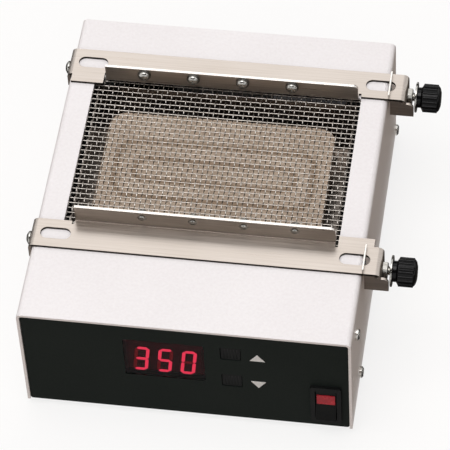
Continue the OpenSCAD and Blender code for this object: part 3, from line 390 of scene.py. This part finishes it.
def breakEdges(name, width, steps=2, sharpDegrees=28):
    shape = bmesh.new()
    shape.from_mesh(cad[name].data)
    bmesh.ops.remove_doubles(shape, verts=shape.verts, dist=weld["mergeMm"] * mm)
    bmesh.ops.dissolve_limit(shape, angle_limit=math.radians(weld["flatDegrees"]), verts=shape.verts,
                             edges=shape.edges)
    if name.endswith("_rail"):
        every = list(shape.verts) + list(shape.edges) + list(shape.faces)
        cutHeight = (0, 0, railFaces["cutMm"] * mm)
        bmesh.ops.bisect_plane(shape, geom=every, plane_co=cutHeight, plane_no=(0, 0, 1))
    sharp = [e for e in shape.edges if e.is_manifold and e.calc_face_angle() > math.radians(sharpDegrees)]
    bmesh.ops.bevel(shape, geom=sharp, offset=width * mm, offset_type="OFFSET", segments=steps, profile=0.5,
                    affect="EDGES", clamp_overlap=True, material=-1)
    piece = makePiece(shape, name + "Soft", name)
    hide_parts(name)
    return piece


def sortRailFaces(piece):
    # Rail faces sorted by height and facing: cut edges dark, partly painted shade; bends and brackets below
    # in painted shade; the flanges' upward tops a painted highlight; their forward faces painted shade
    for finish in (shadedShearedSteel, bendShadeSteel, groundAndHighlitSteel, shadedFlange):
        piece.data.materials.append(finish)
    for face in piece.data.polygons:
        height = face.center.z / mm
        normal = face.normal
        inBend = railFaces["plateMm"] - 0.1 < height < railFaces["bendMm"]
        if abs(normal.z) < railFaces["edge"] and railFaces["cutMm"] < height < railFaces["plateMm"]:
            face.material_index = 1
        elif inBend and normal.y < -railFaces["bend"] and normal.z > railFaces["bend"]:
            face.material_index = 2
        elif normal.z > railFaces["level"] and height > railFaces["lipMm"]:
            face.material_index = 3
        elif normal.y < -railFaces["flange"] and height > railFaces["bendMm"]:
            face.material_index = 4
        elif height < railFaces["cutMm"] and abs(normal.z) < railFaces["level"]:
            face.material_index = 2


for name, width in brokenEdges.items():
    softened = breakEdges(name, width)
    if name.endswith("_rail"):
        sortRailFaces(softened)
print("edges broken on", len(brokenEdges), "pieces")


# Mixes a darker tone into a finish below a height: painted shade in hollows and dips
def toneBelow(finish, level, change):
    tree = finish.node_tree
    shader = tree.nodes["Principled BSDF"]
    plain = shader.inputs["Base Color"].links[0].from_socket
    place = addNode(tree, "ShaderNodeTexCoord")
    split = addNode(tree, "ShaderNodeSeparateXYZ", None, {0: place.outputs["Object"]})
    sunk = addNode(tree, "ShaderNodeMapRange", {"interpolation_type": "SMOOTHSTEP"},
                   {"Value": split.outputs["Z"], "From Min": level + change["toMm"] * mm,
                    "From Max": level + change["fromMm"] * mm, "To Min": 1.0, "To Max": 0.0})
    tone = addNode(tree, "ShaderNodeMix", {"data_type": "RGBA"},
                   {0: sunk.outputs["Result"], 6: plain, 7: linear(change["tone"])})
    tree.links.new(tone.outputs[2], shader.inputs["Base Color"])


# Woven guard: straight wires across, and crimped wires that pass over one of them and under the next
guard = {"pitchX": 2.67, "pitchY": 3.27, "wireRadius": 0.29, "crimp": 0.52, "sides": 8, "stepsPerBay": 3}


def wovenWire(length, pitch, count, crimp):
    wire = bmesh.new()
    bmesh.ops.create_cone(wire, cap_ends=True, segments=guard["sides"], radius1=guard["wireRadius"] * mm,
                          radius2=guard["wireRadius"] * mm, depth=length)
    long = [e for e in wire.edges if abs(e.verts[0].co.z - e.verts[1].co.z) > length / 2]
    bays = length / (pitch * mm)
    if crimp:
        cuts = round(bays * guard["stepsPerBay"])
        bmesh.ops.subdivide_edges(wire, edges=long, cuts=cuts, use_grid_fill=True)
    bmesh.ops.rotate(wire, verts=wire.verts, cent=(0, 0, 0), matrix=Matrix.Rotation(math.pi / 2, 3, "Y"))
    lead = (count - 1) / 2
    for v in wire.verts:
        v.co.z += crimp * mm * math.cos(math.pi * (v.co.x / (pitch * mm) + lead))
    for face in wire.faces:
        face.material_index = 1 if crimp else 0
    mesh = bpy.data.meshes.new("wovenWire")
    wire.to_mesh(mesh)
    wire.free()
    return mesh


def weaveGuard():
    low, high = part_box("guard_mesh")
    middle = (low + high) / 2
    size = high - low
    across = math.floor(size.x / mm / guard["pitchX"])
    deep = math.floor(size.y / mm / guard["pitchY"])
    weave = bmesh.new()
    wireX = wovenWire(size.x, guard["pitchX"], across, 0)
    wireY = wovenWire(size.y, guard["pitchY"], deep, guard["crimp"])
    for run, count, pitch, turn in ((wireX, deep, guard["pitchY"], 0), (wireY, across, guard["pitchX"], 90)):
        for i in range(count):
            offset = (i - (count - 1) / 2) * pitch * mm
            side = Vector((0, offset, 0)) if turn == 0 else Vector((offset, 0, 0))
            flip = 1 if (i + (turn == 90)) % 2 == 0 else -1
            place = Matrix.Translation(middle + side) @ Matrix.Rotation(math.radians(turn), 4, "Z")
            place = place @ Matrix.Diagonal((1, 1, flip, 1))
            start = len(weave.verts)
            weave.from_mesh(run)
            weave.verts.ensure_lookup_table()
            bmesh.ops.transform(weave, matrix=place, verts=weave.verts[start:])
    bmesh.ops.recalc_face_normals(weave, faces=weave.faces)
    piece = makePiece(weave, "wovenGuard", "guard_mesh", 60)
    piece.data.materials.append(crimpedWire)
    # Painted shade low in the crimped wires
    toneBelow(crimpedWire, middle.z, weaveDipShade)
    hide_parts("guard_mesh")
    print("guard woven,", across, "by", deep, "wires")


weaveGuard()

# Heater: a pressed slab with two rounded grooves in its face
heater = {"wide": 122, "deep": 76, "corner": 9, "thick": 7.5, "rim": 1.2, "foot": (40, 24, 3),
          "stem": (32, 16, 2), "neck": 13, "grooveWide": 5.6, "grooveDeep": 1.0,
          "grooves": [(104.9, 38, 9.9), (85.4, 14.1, 6.46)]}
# A groove's section: how far from its middle, in half widths, and how much of its depth
grooveSection = [(1.0, 0), (0.8, 0.1), (0.5, 0.5), (0.2, 0.9), (-0.2, 0.9), (-0.5, 0.5), (-0.8, 0.1),
                 (-1.0, 0)]


def stackLoops(shape, middle, sizes):
    wide, deep, corner, height = sizes[0]
    before = set(shape.verts)
    made = bmesh.ops.create_grid(shape, x_segments=1, y_segments=1, size=0.5)["verts"]
    bmesh.ops.scale(shape, vec=(wide * mm, deep * mm, 1), verts=made)
    bmesh.ops.translate(shape, vec=(middle.x, middle.y, height), verts=made)
    bmesh.ops.bevel(shape, geom=made, offset=corner * mm, offset_type="OFFSET", segments=8, profile=0.5,
                    affect="VERTICES", clamp_overlap=True, material=-1)
    ring = {v for v in shape.verts if v not in before}
    for old, new in zip(sizes, sizes[1:]):
        edges = [e for e in shape.edges if e.verts[0] in ring and e.verts[1] in ring]
        raised = bmesh.ops.extrude_edge_only(shape, edges=edges)["geom"]
        ring = {g for g in raised if isinstance(g, bmesh.types.BMVert)}
        for v in ring:
            side = Vector((1 if v.co.x > middle.x else -1, 1 if v.co.y > middle.y else -1))
            oldCentre = middle.xy + side * Vector((old[0] / 2 - old[2], old[1] / 2 - old[2])) * mm
            newCentre = middle.xy + side * Vector((new[0] / 2 - new[2], new[1] / 2 - new[2])) * mm
            spot = newCentre + (v.co.xy - oldCentre) * (new[2] / old[2])
            v.co = (spot.x, spot.y, new[3])
    lid = [e for e in shape.edges if e.verts[0] in ring and e.verts[1] in ring]
    bmesh.ops.contextual_create(shape, geom=lid)


def pressHeater():
    low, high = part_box("ceramic_heater")
    middle = (low + high) / 2
    top = high.z
    # Painted shade down in the grooves of the heater's face
    toneBelow(firedCeramic, top, grooveShade)
    base = top - heater["thick"] * mm
    wide, deep, corner, rim = heater["wide"], heater["deep"], heater["corner"], heater["rim"]
    # From the underside up: a chamfer, the wall, and a rounded shoulder in two steps
    sizes = [(wide - 2 * rim, deep - 2 * rim, corner - rim, base), (wide, deep, corner, base + rim * mm),
             (wide, deep, corner, top - rim * mm),
             (wide - 0.6 * rim, deep - 0.6 * rim, corner, top - 0.3 * rim * mm),
             (wide - 2 * rim, deep - 2 * rim, corner - 0.4, top)]
    half = heater["grooveWide"] / 2
    for along, across, bend in heater["grooves"]:
        for out, sink in grooveSection:
            sizes.append((along + 2 * half * out, across + 2 * half * out, bend + half * out,
                          top - sink * heater["grooveDeep"] * mm))
    slab = bmesh.new()
    stackLoops(slab, middle, sizes)
    neck = low.z + heater["neck"] * mm
    stackLoops(slab, middle, [(*heater["foot"], neck), (*heater["foot"], base + mm)])
    stackLoops(slab, middle, [(*heater["stem"], low.z), (*heater["stem"], neck + mm)])
    bmesh.ops.recalc_face_normals(slab, faces=slab.faces)
    piece = makePiece(slab, "pressedHeater", "ceramic_heater", 50)
    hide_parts("ceramic_heater")


pressHeater()
print("heater pressed")

# Thumb screws with their threads cut
thread = {"pitch": 0.8, "depth": 0.4, "stepsPerTurn": 20, "crest": (0.42, 0.58), "slack": 0.02,
          "merge": 0.004}


def cutThread(name):
    low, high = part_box(name)
    middle = (low + high) / 2
    radius = (high.y - low.y) / 2 - thread["slack"] * mm
    pitch = thread["pitch"] * mm
    length = high.x - low.x
    turns = math.ceil(length / pitch) + 2
    steps = thread["stepsPerTurn"]
    rod = bmesh.new()
    start = low.x - pitch * 1.5
    profile = [rod.verts.new((start, middle.y, middle.z + radius - thread["depth"] * mm)),
               rod.verts.new((start + pitch * thread["crest"][0], middle.y, middle.z + radius)),
               rod.verts.new((start + pitch * thread["crest"][1], middle.y, middle.z + radius)),
               rod.verts.new((start + pitch, middle.y, middle.z + radius - thread["depth"] * mm))]
    lines = [rod.edges.new(profile[i:i + 2]) for i in range(3)]
    bmesh.ops.spin(rod, geom=profile + lines, cent=middle, axis=(1, 0, 0), dvec=(pitch / steps, 0, 0),
                   angle=2 * math.pi * turns, steps=steps * turns, use_duplicate=False)
    bmesh.ops.remove_doubles(rod, verts=rod.verts, dist=thread["merge"] * mm)
    for x, way in ((low.x, -1), (high.x, 1)):
        every = list(rod.verts) + list(rod.edges) + list(rod.faces)
        bmesh.ops.bisect_plane(rod, geom=every, plane_co=(x, 0, 0), plane_no=(way, 0, 0), clear_outer=True)
        rim = [e for e in rod.edges if e.is_boundary and abs(e.verts[0].co.x - x) < 1e-6
               and abs(e.verts[1].co.x - x) < 1e-6]
        bmesh.ops.holes_fill(rod, edges=rim, sides=0)
    bmesh.ops.recalc_face_normals(rod, faces=rod.faces)
    piece = makePiece(rod, name + "Cut", name, 25)
    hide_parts(name)


for end in ("rear", "front"):
    cutThread(end + "_clamp_screw")
print("threads cut")

# Unlit bars of the three figures, laid beside the lit ones
figures = {"wide": 7.6, "high": 19.6, "pitch": 12.3, "bar": 1.7, "gap": 0.4, "lean": 6.4, "lift": 0.12,
           "point": 0.49, "lit": ("1111001", "1011011", "1111110")}


def layUnlitBars():
    low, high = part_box("display_segments")
    windowLow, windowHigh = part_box("display_window")
    centreX = (windowLow.x + windowHigh.x) / 2
    centreZ = (low.z + high.z) / 2
    bar = figures["bar"] * mm
    reachX = (figures["wide"] * mm - bar) / 2
    reachZ = (figures["high"] * mm - bar) / 4
    spots = [(0, 2, 0), (1, 1, 1), (1, -1, 1), (0, -2, 0), (-1, -1, 1), (-1, 1, 1), (0, 0, 0)]
    lean = Matrix.Identity(4)
    lean[0][2] = math.tan(math.radians(figures["lean"]))
    bars = bmesh.new()
    for i, lit in enumerate(figures["lit"]):
        place = Matrix.Translation((centreX + (i - 1) * figures["pitch"] * mm, high.y, centreZ)) @ lean
        for k, (sx, sz, upright) in enumerate(spots):
            if lit[k] == "1":
                continue
            length = 2 * (reachZ if upright else reachX) - figures["gap"] * mm
            made = bmesh.ops.create_grid(bars, x_segments=1, y_segments=1, size=0.5)["verts"]
            bmesh.ops.scale(bars, vec=(length, bar, 1), verts=made)
            before = set(bars.faces)
            face = made[0].link_faces[0]
            before.discard(face)
            bmesh.ops.bevel(bars, geom=made, offset=bar * figures["point"], offset_type="OFFSET", segments=1,
                            profile=0.5, affect="VERTICES", clamp_overlap=True, material=-1)
            outline = [f for f in bars.faces if f not in before]
            raised = bmesh.ops.extrude_face_region(bars, geom=outline)["geom"]
            lifted = [g for g in raised if isinstance(g, bmesh.types.BMVert)]
            bmesh.ops.translate(bars, vec=(0, 0, figures["lift"] * mm), verts=lifted)
            corners = list({v for f in outline for v in f.verts} | set(lifted))
            turn = Matrix.Rotation(math.pi / 2, 4, "X") @ Matrix.Rotation(math.pi / 2 * upright, 4, "Z")
            spot = Matrix.Translation((sx * reachX, 0, sz * reachZ))
            bmesh.ops.transform(bars, matrix=place @ spot @ turn, verts=corners)
    bmesh.ops.recalc_face_normals(bars, faces=bars.faces)
    piece = makePiece(bars, "unlitBars", "display_module", 30)
    piece.data.materials.clear()
    piece.data.materials.append(unlitRed)


layUnlitBars()
print("unlit bars laid")

# Floor, pale to the eye and a quieter bounce light below the part
stageLook = {"bounce": "AA9988", "paper": "E6E3E0", "white": "FFFFFF", "shown": 0.76, "strength": 1.04,
             "half": 12.0}
floorShape = bmesh.new()
bmesh.ops.create_grid(floorShape, x_segments=1, y_segments=1, size=stageLook["half"])
floorMesh = bpy.data.meshes.new("paleFloor")
floorShape.to_mesh(floorMesh)
floorShape.free()
floorSheet = bpy.data.objects.new("paleFloor", floorMesh)
bpy.context.scene.collection.objects.link(floorSheet)
floorPaper = bpy.data.materials.new("paleFloorPaper")
floorPaper.use_nodes = True
floorTree = floorPaper.node_tree
floorTree.nodes.clear()
floorPath = addNode(floorTree, "ShaderNodeLightPath")
floorSeen = addNode(floorTree, "ShaderNodeMath", {"operation": "ADD", "use_clamp": True},
                    {0: floorPath.outputs["Is Camera Ray"], 1: floorPath.outputs["Is Glossy Ray"]})
floorSeen = addNode(floorTree, "ShaderNodeMath", {"operation": "ADD", "use_clamp": True},
                    {0: floorSeen.outputs["Value"], 1: floorPath.outputs["Is Transmission Ray"]})
floorShare = addNode(floorTree, "ShaderNodeMath", {"operation": "MULTIPLY"},
                     {0: floorSeen.outputs["Value"], 1: stageLook["shown"]})
floorTone = addNode(floorTree, "ShaderNodeMix", {"data_type": "RGBA"},
                    {0: floorSeen.outputs["Value"], 6: linear(stageLook["bounce"]),
                     7: linear(stageLook["paper"])})
floorPale = addNode(floorTree, "ShaderNodeBsdfDiffuse", None, {"Color": floorTone.outputs[2]})
floorWhite = addNode(floorTree, "ShaderNodeEmission", None,
                     {"Color": linear(stageLook["white"]), "Strength": stageLook["strength"]})
floorMix = addNode(floorTree, "ShaderNodeMixShader", None,
                   {0: floorShare.outputs["Value"], 1: floorPale.outputs[0], 2: floorWhite.outputs[0]})
addNode(floorTree, "ShaderNodeOutputMaterial", None, {"Surface": floorMix.outputs[0]})
floorMesh.materials.append(floorPaper)

# World: soft light, stronger from above and in front, and seen as white behind the part
sky = {"base": 0.06, "front": 0.42, "frontSpan": (-1.0, 0.2), "above": 0.92, "sides": 0.47, "seen": 0.96,
       "warm": "FFF8F2", "white": "FFFFFF"}
studioWorld = bpy.data.worlds.new("studioWorld")
studioWorld.use_nodes = True
skyTree = studioWorld.node_tree
skyTree.nodes.clear()
skyPath = addNode(skyTree, "ShaderNodeLightPath")
skySeen = addNode(skyTree, "ShaderNodeMath", {"operation": "ADD", "use_clamp": True},
                  {0: skyPath.outputs["Is Camera Ray"], 1: skyPath.outputs["Is Glossy Ray"]})
skySeen = addNode(skyTree, "ShaderNodeMath", {"operation": "ADD", "use_clamp": True},
                  {0: skySeen.outputs["Value"], 1: skyPath.outputs["Is Transmission Ray"]})
skyWay = addNode(skyTree, "ShaderNodeTexCoord")
skySplit = addNode(skyTree, "ShaderNodeSeparateXYZ", None, {0: skyWay.outputs["Generated"]})
skyFront = addNode(skyTree, "ShaderNodeMapRange", None,
                   {"Value": skySplit.outputs["Y"], "From Min": sky["frontSpan"][0],
                    "From Max": sky["frontSpan"][1], "To Min": sky["base"] + sky["front"],
                    "To Max": sky["base"]})
skyAbove = addNode(skyTree, "ShaderNodeMapRange", None,
                   {"Value": skySplit.outputs["Z"], "To Min": 0.0, "To Max": sky["above"]})
skyPower = addNode(skyTree, "ShaderNodeMath", {"operation": "ADD"},
                   {0: skyFront.outputs["Result"], 1: skyAbove.outputs["Result"]})
skyAside = addNode(skyTree, "ShaderNodeMath", {"operation": "ABSOLUTE"}, {0: skySplit.outputs["X"]})
skySides = addNode(skyTree, "ShaderNodeMapRange", None,
                   {"Value": skyAside.outputs["Value"], "To Min": 1.0, "To Max": sky["sides"]})
skyPower = addNode(skyTree, "ShaderNodeMath", {"operation": "MULTIPLY"},
                   {0: skyPower.outputs["Value"], 1: skySides.outputs["Result"]})
skyTone = addNode(skyTree, "ShaderNodeMix", {"data_type": "RGBA"},
                  {0: skyAside.outputs["Value"], 6: linear(sky["white"]), 7: linear(sky["warm"])})
skySoft = addNode(skyTree, "ShaderNodeBackground", None,
                  {"Color": skyTone.outputs[2], "Strength": skyPower.outputs["Value"]})
skyWhite = addNode(skyTree, "ShaderNodeBackground", None,
                   {"Color": linear(sky["white"]), "Strength": sky["seen"]})
skyMix = addNode(skyTree, "ShaderNodeMixShader", None,
                 {0: skySeen.outputs["Value"], 1: skySoft.outputs[0], 2: skyWhite.outputs[0]})
addNode(skyTree, "ShaderNodeOutputWorld", None, {"Surface": skyMix.outputs[0]})
bpy.context.scene.world = studioWorld

# Soft boxes: a key overhead, one high behind for the steel, and a small one in front for glints
softBoxes = {
    "keyBox": {"place": (-0.45, -0.25, 2.6), "size": 1.6, "power": 31, "colour": "FFFDFD"},
    "backBox": {"place": (-0.45, 2.05, 2.6), "size": 1.1, "power": 3.0, "colour": "FFFDFB"},
    "glintBox": {"place": (0.9, -1.9, 1.7), "size": 0.26, "power": 1.4, "colour": "FFFFFF"},
}
aimPoint = Vector((0, 0, 0.05))
for name, box in softBoxes.items():
    lampData = bpy.data.lights.new(name, "AREA")
    lampData.size = box["size"]
    lampData.energy = box["power"]
    lampData.color = linear(box["colour"])[:3]
    lamp = bpy.data.objects.new(name, lampData)
    lamp.location = box["place"]
    lamp.rotation_euler = (aimPoint - Vector(box["place"])).to_track_quat("-Z", "Y").to_euler()
    bpy.context.scene.collection.objects.link(lamp)

# Dark cards round the part, which only reflections see
cards = {"frontCard": {"place": (0.0, -1.9, 2.7), "wide": 5.0, "high": 2.6},
         "rightCard": {"place": (2.6, -0.4, 0.35), "wide": 3.4, "high": 0.66},
         "leftCard": {"place": (-2.4, 1.2, 0.35), "wide": 4.0, "high": 0.66},
         "backCard": {"place": (0.0, 3.4, 1.0), "wide": 5.0, "high": 2.1},
         "rightFlag": {"place": (0.279, 0.05, 0.002), "wide": 0.402, "high": 0.7},
         "leftFlag": {"place": (-0.31, 0.15, 0.002), "wide": 0.4, "high": 0.5}}
cardLook = {"felt": "3A3836", "rough": 0.9}
cardFelt = bpy.data.materials.new("darkCardFelt")
cardFelt.use_nodes = True
cardShader = cardFelt.node_tree.nodes["Principled BSDF"]
cardShader.inputs["Base Color"].default_value = linear(cardLook["felt"])
cardShader.inputs["Roughness"].default_value = cardLook["rough"]
for name, card in cards.items():
    cardShape = bmesh.new()
    bmesh.ops.create_grid(cardShape, x_segments=1, y_segments=1, size=0.5)
    bmesh.ops.scale(cardShape, vec=(card["wide"], card["high"], 1), verts=cardShape.verts)
    cardWay = aimPoint - Vector(card["place"])
    if name.endswith("Flag"):
        cardWay = Vector((0, 0, -1))
    cardTurn = cardWay.to_track_quat("-Z", "Y").to_matrix().to_4x4()
    bmesh.ops.transform(cardShape, matrix=Matrix.Translation(card["place"]) @ cardTurn, verts=cardShape.verts)
    cardMesh = bpy.data.meshes.new(name)
    cardShape.to_mesh(cardMesh)
    cardShape.free()
    cardMesh.materials.append(cardFelt)
    darkCard = bpy.data.objects.new(name, cardMesh)
    darkCard.visible_camera = False
    darkCard.visible_diffuse = False
    darkCard.visible_shadow = False
    bpy.context.scene.collection.objects.link(darkCard)
print("stage lit")
